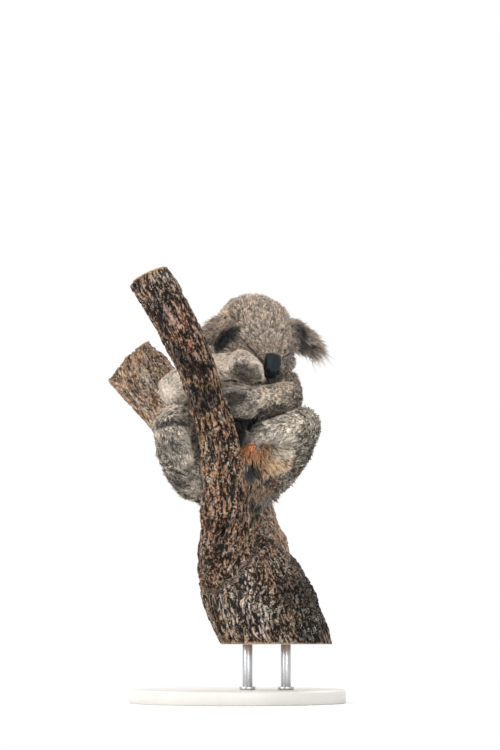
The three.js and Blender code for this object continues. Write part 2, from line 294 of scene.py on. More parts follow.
# -------- markings
# A koala is grey above and cream below, with a white chest, charcoal in the ears and a brown
# stain where it sits. Each mark is a soft patch, placed in mm from the lap, laid over the last.
# Some are painted light. Outside the ears, the near black ones are painted shade in deep folds.
# The dark insides of the ears are charcoal fur deepened by painted shade of their hollows. A few
# darker marks are painted shade round the left eye, under the right hand and at the left knee,
# and one pale mark on the inner thigh is a painted highlight.
BASE_TONES = {
    "head": "#c0a893",
    "nose": "#c9b6a3",
    "eye": "#a8937f",
    "ear": "#cdb49f",
    "neck": "#b8a797",
    "trunk": "#b4aaa0",
    "upper_arm": "#c6b29e",
    "forearm": "#d6c3ae",
    "hand": "#bdb0a1",
    "thigh": "#d9cdbd",
    "shin": "#ddd0bd",
    "foot": "#b0a69a",
}
MARKS_AND_PAINTED_LIGHT = [
    # parts of the body, colour, centre, radii
    ("neck trunk", "#f3e9da", (6, -10, 74), (60, 60, 52)),  # chest and throat
    ("trunk", "#cfc2b1", (0, -20, -30), (52, 50, 50)),  # belly
    ("trunk neck", "#0e0c0b", (-14, -26, 34), (60, 34, 20)),  # shade between the arms
    ("trunk thigh forearm_left", "#0e0c0b", (2, -30, -42), (34, 34, 26)),  # and in the lap
    ("head", "#d2bda9", (34, -58, 112), (40, 30, 17)),  # brow
    ("head eye", "#75665a", (83, -18, 82), (9, 24, 13)),  # round the left eye
    ("head nose", "#dccab7", (69, -40, 70), (2.6, 24, 20)),  # pale edge of the muzzle
    # painted shade between the left eye and ear
    ("head eye", "#7b6d60", (86, -5, 91), (11, 30, 7)),
    ("head eye", "#1e1814", (73, -32, 84), (4, 24, 3.4)),  # painted shade in the fold round the left eye
    ("head eye", "#1e1814", (80, -20, 88), (5, 24, 3.4)),
    ("head eye", "#1e1814", (86, -4, 86), (4, 24, 4.5)),
    ("head eye", "#1e1814", (87, 6, 79), (3.4, 24, 5)),
    # painted shade between the left eye and ear
    ("head eye ear_left", "#3a332d", (97, 14, 97), (9, 40, 10)),
    ("head", "#6a5d51", (74, -24, 64), (6, 24, 20)),  # left cheek
    ("head", "#a39180", (84, 0, 68), (8, 30, 14)),
    ("head ear_right", "#2a2827", (-12, -46, 110), (16, 44, 15)),  # beside the right ear: its charcoal fur, deepened by painted shade
    # painted shade under the right ear
    ("head ear_right", "#1c1b1b", (-24, -44, 104), (15, 44, 12)),
    ("head ear_right neck", "#0c0b0b", (-30, -40, 95), (26, 44, 12)),  # shade below it
    ("ear_right", "#3a3938", (-16, -50, 112), (13, 36, 13)),  # its inside: charcoal fur, deepened by painted shade of the hollow
    ("ear_left", "#2b2a2b", (90, 15, 129), (9, 40, 9)),  # inside of the left ear: charcoal fur, deepened by painted shade of the hollow
    ("ear_left", "#1d1d1f", (95, 22, 117), (12, 40, 14)),
    ("ear_left", "#3d3935", (102, 30, 102), (11, 40, 9)),
    ("ear_left", "#35312c", (107, 26, 108), (15, 40, 6)),
    ("ear_left", "#b3a392", (114, 30, 95), (18, 40, 8)),
    # beside the left ear: its charcoal fur, deepened by painted shade
    ("head", "#2a2827", (98, 26, 114), (10, 40, 22)),
    ("hand_right forearm_right", "#efdcc8", (0, -84, 58), (74, 50, 46)),  # right hand
    ("hand_right forearm_right", "#f9e9d6", (-26, -90, 60), (18, 40, 13)),
    ("hand_right forearm_right", "#74685b", (2, -98, 43), (24, 24, 14)),  # its dark back
    ("hand_right", "#8a7d6e", (22, -92, 34), (13, 24, 8)),
    ("hand_right forearm_right", "#7b6d5f", (0, -80, 26), (60, 30, 5)),  # painted shade underneath
    ("forearm_right upper_arm_right", "#fff2e2", (-114, -44, 22), (44, 52, 30)),  # elbow
    ("hand_left forearm_left", "#5f554b", (-3, -98, -3), (20, 24, 14)),  # back of the left hand
    ("forearm_left", "#4c433b", (20, -96, -22), (44, 30, 8)),  # its shaded underside
    ("forearm_left upper_arm_left", "#7d7063", (70, -78, -16), (34, 30, 9)),
    ("forearm_left upper_arm_left", "#a59583", (88, -50, 0), (18, 40, 16)),
    ("shin_left", "#8e8474", (24, -90, -46), (16, 40, 13)),  # left shin
    # painted shade at the left knee
    ("shin_left thigh_left", "#aaa08f", (110, -84, -58), (16, 50, 16)),
    ("trunk thigh_left shin_left", "#ffd5a8", (48, -20, -88), (36, 60, 26)),  # inner thigh
    ("trunk thigh_left", "#ffd9ac", (50, -16, -82), (24, 60, 16)),
    # painted highlight on the cream under the knee
    ("trunk thigh_left", "#fff0da", (64, -20, -80), (17, 60, 12)),
    ("trunk thigh_left shin_left", "#a5947f", (93, -20, -98), (16, 60, 22)),
    ("trunk thigh", "#ffc08a", (24, -16, -76), (26, 44, 14)),
    ("trunk thigh", "#ffa964", (10, -16, -70), (18, 44, 8)),  # scent-stained fur in the lap
    ("foot_left shin_left", "#f0a066", (12, -90, -84), (20, 34, 13)),
    # painted shade in the lap, by the left foot
    ("foot_left shin_left", "#14110f", (-3, -80, -60), (15, 40, 16)),
    ("foot_left", "#8a5f42", (20, -60, -98), (18, 34, 9)),
    ("trunk", "#d8a67c", (34, 0, -100), (24, 60, 14)),
    # painted shade in the crease below the stain
    ("trunk", "#231a13", (20, 0, -101), (13, 50, 12)),
    ("trunk thigh_left", "#c4a284", (40, 10, -130), (32, 60, 18)),
    # painted shade in a crease below the lap
    ("trunk thigh_left", "#2c2118", (44, 5, -119), (11, 50, 9)),
    ("trunk", "#a58467", (18, 12, -138), (24, 50, 13)),
    ("trunk", "#7c634f", (22, 20, -158), (30, 50, 8)),
    ("trunk thigh", "#b0957b", (30, 50, -174), (44, 70, 14)),  # rump
    ("shin_left thigh_left", "#a9a193", (98, -30, -84), (10, 50, 24)),  # outside of the leg
    ("thigh_left", "#8c8578", (112, -10, -86), (8, 50, 30)),
    ("thigh_left", "#d9cebe", (124, -20, -66), (9, 60, 50)),  # its pale edge
    ("thigh_right shin_right", "#9d9486", (-112, -60, -84), (22, 70, 36)),  # right leg
    ("thigh_right shin_right", "#5f584e", (-112, -80, -40), (27, 60, 6)),
    # the top of its knee
    ("thigh_right shin_right forearm_right", "#fff2e2", (-122, -56, -5), (30, 60, 13)),
    ("thigh_right", "#cbc0b0", (-138, -10, -60), (13, 80, 70)),  # its pale edge
    ("shin_right foot_right thigh_right", "#fff3e0", (-74, -88, -86), (15, 50, 27)),
    ("foot_right shin_right", "#7d7264", (-88, -84, -120), (16, 34, 12)),
    ("thigh_right", "#978d7f", (-104, 20, -124), (18, 60, 14)),
    ("thigh_right", "#efe2cf", (-78, 40, -138), (14, 60, 12)),
    ("trunk", "#e2dbcf", (-4, 158, -110), (70, 50, 60)),  # pale patch over the rump
]
DEEPEN = 0.14  # the darks are a little darker than they are written, and white stays white
LOCK_BREADTH = 20 * MM  # the hair stands in darker and lighter locks about this far apart
LOCK_CONTRAST = 0.28
STRAGGLE_SIZE = 16 * MM  # the edges of the marks wander, in waves of this size
STRAGGLE = 7  # mm to either side
ROOT_SHADE = 0.45  # of the marking's brightness, on the hide under dark hair
WHITE_HIDE = 0.4, 0.8  # the hide starts to keep its brightness, and keeps it all
MARK_EDGE = 0.65, 1.25
SLIT_SHADE = 0.9  # painted shade: how much darker the hair is beside the groove of a shut eye
SLIT_EDGE = 2.2 * MM, 4.6 * MM


def linear(colour):
    """A colour written as sRGB hex, as linear light."""
    parts = [int(colour[i : i + 2], 16) / 255 for i in (1, 3, 5)]
    return [p / 12.92 if p <= 0.04045 else ((p + 0.055) / 1.055) ** 2.4 for p in parts]


def on(*parts):
    """How far each place of the skin belongs to some parts of the body, soft at the borders."""
    chosen_nodes = [i for i, n in enumerate(FLESH) if n.startswith(parts)]
    return spread(skin.data, np.isin(owner, chosen_nodes).astype(float), 3)[:, 0]


def marked(places, tone):
    """The colour of the hair that grows at these places, with its painted shade and highlight."""
    tone = tone.copy()
    waves = [noise.noise_vector(Vector(p / STRAGGLE_SIZE)) for p in places]
    spots = (places - LAP) / MM + np.array(waves) * STRAGGLE
    for parts, colour, centre, radii in MARKS_AND_PAINTED_LIGHT:
        share = inside(spots, centre, radii, MARK_EDGE) * on(*parts.split())
        tone += (np.array(linear(colour)) - tone) * share[:, None]
    lock = np.array([noise.noise(Vector(p / LOCK_BREADTH)) for p in places])
    tone *= 1 + LOCK_CONTRAST * lock[:, None]
    tone *= tone.mean(axis=1, keepdims=True) ** DEEPEN
    # painted shade beside the groove of each shut eye
    for line, outward in slits:
        tone *= 1 - SLIT_SHADE * fade(gap_to(places, line), *SLIT_EDGE)[:, None]
    return tone


base_tone = np.array([linear(BASE_TONES[part_of(n)]) for n in FLESH])
tone = marked(places, spread(skin.data, base_tone[owner], 12))


def add_field(mesh, name, values, kind="FLOAT_COLOR"):
    """Values at the vertices of a mesh, for its material to read."""
    field = mesh.attributes.new(name, kind, "POINT")
    if kind == "FLOAT_COLOR":
        values = np.hstack([values, np.ones((len(values), 1))])
    held_as = {"FLOAT_COLOR": "color", "FLOAT_VECTOR": "vector", "FLOAT": "value"}[kind]
    field.data.foreach_set(held_as, values.astype(np.float32).ravel())


whiteness = 1 - fade(tone.mean(axis=1), *WHITE_HIDE)
# The hide takes the coat's colour, with the painted shade and highlight of the marks.
add_field(skin.data, "marking_and_painted_light", tone * (ROOT_SHADE + (1 - ROOT_SHADE) * whiteness)[:, None])


def node(tree, kind, sockets=None, **settings):
    """Adds a shader node, with its settings, and its sockets' values or links."""
    made = tree.nodes.new("ShaderNode" + kind)
    for key, value in settings.items():
        setattr(made, key, value)
    for key, value in (sockets or {}).items():
        if isinstance(value, bpy.types.NodeSocket):
            tree.links.new(value, made.inputs[key])
        else:
            made.inputs[key].default_value = value
    return made


def new_material(name):
    """A material, its node tree, and the place on the piece that its patterns are laid out by."""
    material = bpy.data.materials.new(name)
    material.use_nodes = True
    tree = material.node_tree
    tree.nodes.clear()
    return material, tree, node(tree, "TexCoord").outputs["Object"]


def make_of(piece, material):
    piece.data.materials.clear()
    piece.data.materials.append(material)


def finish_material(tree, surface):
    node(tree, "OutputMaterial", {"Surface": surface.outputs[0]})


# Hide under the fur: dull skin in the marking's own colour, darker than the hair above it.
hide, tree, where = new_material("hide under fur")
marking_and_painted_light = node(tree, "Attribute", attribute_name="marking_and_painted_light")
grain = node(tree, "TexNoise", {"Vector": where, "Scale": 1 / (3 * MM), "Detail": 3.0})
shade = node(tree, "MapRange", {"Value": grain.outputs["Fac"], "To Min": 0.6, "To Max": 1.0})
dark = node(tree, "VectorMath", {0: marking_and_painted_light.outputs["Color"]}, operation="SCALE")
tree.links.new(shade.outputs[0], dark.inputs["Scale"])
bump = node(tree, "Bump", {"Height": grain.outputs["Fac"], "Distance": 0.6 * MM, "Strength": 0.8})
finish_material(tree, node(tree, "BsdfPrincipled", {
    "Base Color": dark.outputs[0], "Roughness": 0.9, "Normal": bump.outputs[0],
    "Specular IOR Level": 0.2,
}))
make_of(skin, hide)
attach(skin, "root")
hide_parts(*(n for n in FLESH if not n.startswith(("nose", "eye"))))

# -------- eyes
# Each closed eye is an almond of thin lid, let into the hide, with a groove where the upper
# lid meets the lower. Short fur grows over it to the edges of the groove.
LID_SINK = 4.2 * MM
# Thin bare skin: soft and matt, brown, and near black down in the groove with painted shade.
lid_skin, tree, where = new_material("thin eyelid skin")
groove = node(tree, "Attribute", attribute_name="slit")
crease = node(tree, "TexNoise", {"Vector": where, "Scale": 1 / (1.5 * MM), "Detail": 2.0})
tint = node(tree, "Mix", {
    0: groove.outputs["Fac"], 6: linear("#8a7464") + [1], 7: linear("#0c0908") + [1],
}, data_type="RGBA")
bump = node(tree, "Bump", {"Height": crease.outputs["Fac"], "Distance": 0.3 * MM})
finish_material(tree, node(tree, "BsdfPrincipled", {
    "Base Color": tint.outputs[2], "Roughness": 0.6, "Normal": bump.outputs[0],
}))
for side, (line, outward) in zip(("left", "right"), slits):
    lid = fused(merged_copy([f"eye_{side}"]), 0.9 * MM, f"eyelids_{side}")
    lid_places = spread(lid.data, read(lid.data.vertices, "co", 3), 4)
    slit = fade(gap_to(face_on(lid_places, outward), face_on(line, outward)), 1.0 * MM, 2.4 * MM)
    lid_places -= outward * (LID_SINK + slit[:, None] * 2 * MM)
    set_places(lid.data, lid_places)
    add_field(lid.data, "slit", slit, "FLOAT")
    make_of(lid, lid_skin)
    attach(lid, "root")
    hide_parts(f"eye_{side}")

# -------- nose
# A koala's nose is a large bare pad of blue-black leather, moist and finely pebbled, with a comma
# of a nostril at each lower side. It sits proud of the short fur of the muzzle.
nose = fused(merged_copy(["nose"]), 1.0 * MM, "nose_pad")
pad = spread(nose.data, read(nose.data.vertices, "co", 3), 5)
pad_middle = pad.mean(axis=0)
axes = np.linalg.svd(pad - pad_middle, full_matrices=False)[2]
down = axes[0] * -np.sign(axes[0][2])
front = pad_middle - np.array(head_middle)
front = unit(front - down * (front @ down))
left = np.cross(front, down)
left *= np.sign(left[0])
NOSTRILS = {"down": 9 * MM, "aside": 9.5 * MM, "wide": 2.5 * MM, "tall": 5 * MM, "deep": 2.5 * MM}
away = pad - pad_middle
for side in (1, -1):
    gap = np.hypot(
        (away @ down - NOSTRILS["down"]) / NOSTRILS["tall"],
        (away @ left - side * NOSTRILS["aside"]) / NOSTRILS["wide"],
    )
    dent = fade(gap, 0.3, 1.3) * (away @ front > 0)
    pad -= dent[:, None] * (front + left * side * 0.35) * NOSTRILS["deep"]
saddle = fade(np.abs(away @ left), 0, 9 * MM) * fade(np.abs(away @ down + 4 * MM), 0, 16 * MM)
pad -= saddle[:, None] * front * 1.6 * MM
set_places(nose.data, spread(nose.data, pad, 2))
# Moist leather: blue-black, with a soft sheen broken by a fine pebbling.
leather, tree, where = new_material("moist nose leather")
pebble = node(tree, "TexVoronoi", {"Vector": where, "Scale": 1 / (1.3 * MM)})
cloud = node(tree, "TexNoise", {"Vector": where, "Scale": 1 / (9 * MM), "Detail": 3.0})
tint = node(tree, "Mix", {
    0: cloud.outputs["Fac"], 6: linear("#030709") + [1], 7: linear("#0f1a20") + [1],
}, data_type="RGBA")
bump = node(tree, "Bump", {
    "Height": pebble.outputs["Distance"], "Distance": 0.3 * MM, "Strength": 0.8,
})
finish_material(tree, node(tree, "BsdfPrincipled", {
    "Base Color": tint.outputs[2], "Roughness": 0.45, "Normal": bump.outputs[0],
    "Specular IOR Level": 0.28,
}))
make_of(nose, leather)
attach(nose, "root")
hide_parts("nose")

# -------- coat
# A koala's coat is dense and woolly: short fine hair in thousands of small locks, dark at the root
# and pale at the tip. Each lock is a thin, closed, three-sided blade that bends over as it grows.
# The locks lie from the nose back over the crown, down the back and out along the limbs.
draw = np.random.default_rng(11)
OUTWARD = {"upper_arm": "forearm", "forearm": "hand", "thigh": "shin", "shin": "foot"}
INWARD = {"hand": "forearm", "foot": "shin"}
SAG = np.array((0, 0, -0.3))


def lie_of(name, places):
    """Which way the hair of one part of the body lies, before it is laid along the skin."""
    part, _, side = name.rpartition("_")
    if name in ("head", "nose") or part == "eye":
        return unit(places - np.array(middle("nose")))
    if part == "ear":
        return unit(places - np.array(middle("head")))
    if name == "neck":
        return unit(np.tile(middle("trunk") - middle("head"), (len(places), 1))) + SAG
    if name == "trunk":
        return unit(places - np.array(middle("neck"))) + SAG
    if part in OUTWARD:
        way = middle(f"{OUTWARD[part]}_{side}") - middle(name)
    else:
        way = middle(name) - middle(f"{INWARD[part]}_{side}")
    return unit(np.tile(way, (len(places), 1))) + SAG * 0.7


FAN = LAP + np.array((24, -20, -62)) * MM  # the long cream hair of the inner thigh fans out from here
FAN_EDGE = 45 * MM, 75 * MM
FAN_PULL = 2.5
fan = fade(np.linalg.norm(places - FAN, axis=1), *FAN_EDGE) * on("trunk", "thigh_left")
lie = np.zeros_like(places)
for i, name in enumerate(FLESH):
    mine = owner == i
    lie[mine] = lie_of(name, places[mine])
up_from_skin = read(skin.data.vertices, "normal", 3)
lie = spread(skin.data, unit(lie), 16)
lie += unit(places - FAN) * FAN_PULL * fan[:, None]
lie = unit(lie - up_from_skin * np.sum(lie * up_from_skin, axis=1, keepdims=True))

settings = spread(skin.data, coat_rows[owner], 8)
field = dict(zip(COAT_COLUMNS, settings.T))
MUZZLE_EDGE = 24, 75  # mm from the nose, where the hair is shorter and finer
muzzle = fade(np.linalg.norm(places - np.array(middle("nose")), axis=1) / MM, *MUZZLE_EDGE)
field["length"] *= 1 - 0.6 * muzzle
field["width"] *= 1 - 0.3 * muzzle
EAR_FRINGE = 0.8  # how much longer the hair is at the rim of the ears
FRINGE_EDGE = 4, 30  # mm in from the rim
for side in ("left", "right"):
    ear = f"ear_{side}"
    reach = np.linalg.norm(places - np.array(middle("head")), axis=1) / MM
    far = reach[owner == FLESH.index(ear)].max()
    field["length"] *= 1 + EAR_FRINGE * on(ear) * fade(far - reach, *FRINGE_EDGE)
field["droop"] = on("ear")
field["length"] *= 1 + 0.35 * fan
LONG_HAIR = [
    # parts of the body, how much longer, centre, radii
    ("head", 0.7, (93, 14, 66), (12, 40, 17)),  # left cheek
    ("head", 0.5, (80, 0, 150), (16, 60, 22)),  # temple
    ("ear_right", 0.25, (-45, -20, 150), (20, 40, 16)),
    ("forearm_right thigh_right", 0.6, (-136, -30, -4), (16, 40, 14)),
    ("trunk", 0.6, (36, 20, -168), (44, 60, 22)),  # rump
    ("hand_right forearm_right", 0.9, (0, -90, 28), (60, 40, 10)),  # between the hands
    ("hand_left forearm_left", 0.9, (0, -90, 18), (60, 40, 9)),
    ("shin_left", 0.6, (88, -70, -70), (34, 60, 12)),  # under the knee
]
for parts, more, centre, radii in LONG_HAIR:
    share = inside((places - LAP) / MM, centre, radii, (0.5, 1.2)) * on(*parts.split())
    field["length"] *= 1 + more * share
PALE = 0.7, 0.95  # hair starts to count as white, and is white
pale = 1 - fade(tone.mean(axis=1), *PALE)
field["length"] *= 1 - 0.15 * pale  # the white hair is short and lies close
field["lift"] *= 1 - 0.4 * pale

mesh = skin.data
mesh.calc_loop_triangles()
corners = read(mesh.loop_triangles, "vertices", 3, np.int32)
loops = read(mesh.loop_triangles, "loops", 3, np.int32)
unwrap = read(mesh.uv_layers["OFBake"].data, "uv", 2)
area = read(mesh.loop_triangles, "area", 1) / MM**2
wanted = area / field["spacing"][corners].mean(axis=1) ** 2
wanted[owner[corners[:, 0]] == FLESH.index("nose")] *= 0.15  # nearly bare under the pad
count = int(wanted.sum())
chosen = draw.choice(len(corners), count, p=wanted / wanted.sum())
r1, r2 = np.sqrt(draw.random(count)), draw.random(count)
weights = np.stack([1 - r1, r1 * (1 - r2), r1 * r2], axis=1)


def at_roots(values, index=corners):
    picked = values[index[chosen]]
    return np.einsum("nk,nk...->n...", weights, picked)


BARE_EDGE = 2.1 * MM  # no hair grows nearer to the groove of a shut eye
root = at_roots(places)
bare = np.any([gap_to(root, line) < BARE_EDGE for line, outward in slits], axis=0)
skyward = unit(at_roots(up_from_skin))
flow = at_roots(lie)
hair = {k: at_roots(v) for k, v in field.items()}
root_uv = at_roots(unwrap, loops)
root_owner = owner[corners[chosen, 0]]

# Neighbouring hairs gather into locks: each hair leans towards the tip of the lock it belongs to.
LOCK_SIZE = 3.9  # mm across
LOCK_SWING, HAIR_SWING = 0.38, 0.22  # radians by which each may stray from the lie of the coat
BEND = 1.25, 0.55  # how steeply the two halves of a hair stand, as shares of its lift
GATHER = 0.5  # of the way to the tip of the lock
GATHER_EDGE = 7 * MM, 14 * MM
lock_count = int(area.sum() / LOCK_SIZE**2)
heads = draw.choice(count, lock_count, replace=False)
tree_of_locks = kdtree.KDTree(lock_count)
for i, k in enumerate(heads):
    tree_of_locks.insert(root[k], i)
tree_of_locks.balance()
lock = np.array([tree_of_locks.find(Vector(p))[1] for p in root])
lock_swing = draw.normal(0, LOCK_SWING, lock_count)[lock]
lock_shade = draw.normal(0, 1, lock_count)[lock]
swing = lock_swing + draw.normal(0, HAIR_SWING, count)
across = np.cross(skyward, flow)
flow = unit(flow * np.cos(swing)[:, None] + across * np.sin(swing)[:, None])
flow = unit(flow - skyward * np.sum(flow * skyward, axis=1, keepdims=True))

length = hair["length"] * MM * np.exp(draw.normal(0, 0.2, count))
lift = np.radians(hair["lift"]) * np.exp(draw.normal(0, 0.18, count))
first, second = (
    flow * np.cos(lift * bend)[:, None] + skyward * np.sin(lift * bend)[:, None] for bend in BEND
)
mid = root + first * (length * 0.5)[:, None]
tip = mid + second * (length * 0.5)[:, None]
lock_tip = tip[heads][lock]
reach = np.linalg.norm(lock_tip - tip, axis=1)
gather = (GATHER * fade(reach, *GATHER_EDGE))[:, None]
tip += (lock_tip - tip) * gather
mid += (lock_tip - tip) * gather * 0.25
FRINGE_DROOP = 9.0  # how far the long hair of the ears hangs, by the square of its length
sag = hair["droop"] * FRINGE_DROOP * length**2
tip[:, 2] -= sag
mid[:, 2] -= sag * 0.25

# Grey and brown hair is dark at its root and pale at its tip, and freckled; white hair is even.
# The wool parts in dark wavy lines where it bends over itself.
HAIR_SHADES = np.array((0.34, 0.86, 1.45))
WHITE_SHADES = np.array((0.97, 1.05, 1.12))
SILVERED = np.array((0, 0.12, 0.4))  # how far each goes to a straw grey
STRAW = np.array((1.13, 1.0, 0.86))
MOTTLE_SIZE = 9 * MM
PARTINGS = Vector((15, 15, 7)) * MM  # how far apart they are
DARK_SHARE = 0.13  # of the locks, sprinkled like pepper
WHITE_HAIR = 0.5, 0.85
ROOT_SINK = 1.2 * MM
MAP_PATCH = 0.003  # how much of the skin's map one hair takes
tone_at_root = at_roots(tone)
whiteness = 1 - fade(tone_at_root.mean(axis=1), *WHITE_HAIR)
mottle = np.array([noise.noise(Vector(p)) for p in root / MOTTLE_SIZE])
parted = np.array([noise.noise(Vector(p)) for p in root / np.array(PARTINGS)])
parted = fade(np.abs(parted), 0.02, 0.13) * hair["parting"]
dark_locks = draw.random(lock_count)[lock] < DARK_SHARE
freckle = 0.2 * lock_shade + draw.normal(0, 0.25, count) + 0.55 * mottle - 0.7 * dark_locks
freckle -= 0.85 * parted
shades = HAIR_SHADES + (WHITE_SHADES - HAIR_SHADES) * whiteness[:, None]
ticked = np.exp(draw.normal(0, 0.2, (count, 3)) * (1 - 0.7 * whiteness)[:, None])
tone_at_root *= np.exp(freckle * (1 - 0.75 * whiteness))[:, None]
hair_tone = tone_at_root[:, None] * (shades * ticked)[:, :, None]  # at root, middle and tip
grey = hair_tone.mean(axis=2, keepdims=True) * STRAW
plain = fade(np.ptp(tone_at_root, axis=1) / tone_at_root.max(axis=1), 0.5, 0.75)[:, None, None]
hair_tone += (grey - hair_tone) * plain * SILVERED[:, None]
hair_tone /= np.maximum(1, hair_tone.max(axis=2, keepdims=True))


def blades(rows, name):
    """One mesh of closed, tapering, three-sided blades, a lock for each of the rows."""
    n = len(rows)
    out, ahead = skyward[rows], unit(mid[rows] - root[rows])
    side = unit(np.cross(out, ahead))
    ridge = unit(np.cross(ahead, side))
    half = (hair["width"][rows] * MM * 0.5)[:, None]
    base = root[rows] - out * ROOT_SINK
    verts = np.empty((n, 7, 3))
    for k, (sideways, above) in enumerate(((1, 0), (0, 0.55), (-1, 0))):
        verts[:, k] = base + side * half * sideways * 0.9 + ridge * half * above
        verts[:, 3 + k] = mid[rows] + side * half * sideways + ridge * half * above
    verts[:, 6] = tip[rows]
    faces = np.array([
        (0, 1, 2), (0, 3, 4), (0, 4, 1), (1, 4, 5), (1, 5, 2), (2, 5, 3), (2, 3, 0),
        (3, 6, 4), (4, 6, 5), (5, 6, 3),
    ])
    index = (faces[None] + 7 * np.arange(n)[:, None, None]).reshape(-1)
    made = bpy.data.meshes.new(name)
    made.vertices.add(7 * n)
    made.vertices.foreach_set("co", verts.astype(np.float32).ravel())
    made.loops.add(len(index))
    made.loops.foreach_set("vertex_index", index.astype(np.int32))
    made.polygons.add(len(index) // 3)
    made.polygons.foreach_set("loop_start", np.arange(0, len(index), 3, dtype=np.int32))
    made.polygons.foreach_set("use_smooth", np.ones(len(index) // 3, bool))
    made.update(calc_edges=True)
    patch = np.array([(0, 0), (0.5, 0), (1, 0), (0, 0.5), (0.5, 0.5), (1, 0.5), (0.5, 1)]) - 0.5
    uv = root_uv[rows][:, None] + patch[None] * MAP_PATCH
    uv = uv.reshape(-1, 2)[index].astype(np.float32)
    made.uv_layers.new(name="OFBake").data.foreach_set("uv", uv.ravel())
    add_field(made, "marking_and_painted_light", hair_tone[rows][:, (0, 0, 0, 1, 1, 1, 2)].reshape(-1, 3))
    return show(made, name)


# Wool: matt and soft at its edges, flecked lighter and darker along each hair. The flecks are
# coarser than the real ones, so that they show.
wool, tree, where = new_material("koala wool")
marking_and_painted_light = node(tree, "Attribute", attribute_name="marking_and_painted_light")
fleck = node(tree, "TexNoise", {"Vector": where, "Scale": 1 / (2.3 * MM), "Detail": 1.0})
vary = node(tree, "MapRange", {
    "Value": fleck.outputs["Fac"], "From Min": 0.34, "From Max": 0.66, "To Min": 0.6, "To Max": 1.44,
})
fair = node(tree, "RGBToBW", {"Color": marking_and_painted_light.outputs["Color"]})
ticks = node(tree, "Mix", {0: fair.outputs[0], 2: vary.outputs[0], 3: 1.04})
hue = node(tree, "VectorMath", {0: marking_and_painted_light.outputs["Color"]}, operation="SCALE")
tree.links.new(ticks.outputs[0], hue.inputs["Scale"])
finish_material(tree, node(tree, "BsdfPrincipled", {
    "Base Color": hue.outputs[0], "Roughness": 0.85, "Specular IOR Level": 0.25,
    "Sheen Weight": 0.25, "Sheen Roughness": 0.5,
}))

# Nothing grows in the creases where one part of the body, or the perch, lies against another.
CREASE_ROOM = 5 * MM
PERCH_ROOM = 3 * MM
ABOVE_ROOT = 1.5 * MM
hide_tree = BVHTree.FromObject(skin, bpy.context.evaluated_depsgraph_get())
perch_trees = [
    BVHTree.FromObject(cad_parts[n], bpy.context.evaluated_depsgraph_get())
    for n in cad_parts
    if n.startswith("perch")
]
closed_in = np.zeros(count, bool)
for i in range(count):
    way = Vector(skyward[i])
    start = Vector(root[i]) + way * ABOVE_ROOT
    hits = [hide_tree.ray_cast(start, way, CREASE_ROOM)]
    hits += [t.ray_cast(start, way, PERCH_ROOM) for t in perch_trees]
    closed_in[i] = any(hit[0] is not None for hit in hits)

REGIONS = {
    "head": ("head", "nose", "eye"),
    "ears": ("ear",),
    "back": ("neck", "trunk"),
    "arm": ("upper_arm", "forearm", "hand"),
    "leg": ("thigh", "shin", "foot"),
}
LIMIT = 19500  # locks in one piece
for region, parts in REGIONS.items():
    mine = np.isin(root_owner, [i for i, n in enumerate(FLESH) if n.startswith(parts)])
    rows = np.nonzero(mine & ~bare & ~closed_in)[0]
    rows = rows[np.argsort(root[rows, 0], kind="stable")]
    pieces = math.ceil(len(rows) / LIMIT)
    for k, share in enumerate(np.array_split(rows, pieces)):
        coat = blades(share, f"coat_{region}_{k + 1}")
        make_of(coat, wool)
        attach(coat, "root")

# -------- claws
# Long curved claws of dark horn, one on each clawed digit, thick at the root and sharp at the tip.
# Horn: brown-black, streaked, with a low polish.
horn, tree, where = new_material("dark claw horn")
streak = node(tree, "TexNoise", {"Vector": where, "Scale": 1 / (2 * MM), "Detail": 3.0})
tint = node(tree, "Mix", {
    0: streak.outputs["Fac"], 6: linear("#15110f") + [1], 7: linear("#4a3d33") + [1],
}, data_type="RGBA")
finish_material(tree, node(tree, "BsdfPrincipled", {
    "Base Color": tint.outputs[2], "Roughness": 0.38,
}))
for paw in ("hand_left", "hand_right", "foot_left", "foot_right"):
    names = [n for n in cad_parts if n.startswith(f"claw_{paw}")]
    claws = show(merged_copy(names), f"claws_{paw}")
    smooth = claws.modifiers.new("smooth", "SUBSURF")
    smooth.levels = smooth.render_levels = 2
    claws.data.polygons.foreach_set("use_smooth", np.ones(len(claws.data.polygons), bool))
    make_of(claws, horn)
    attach(claws, "root")
    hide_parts(*names)

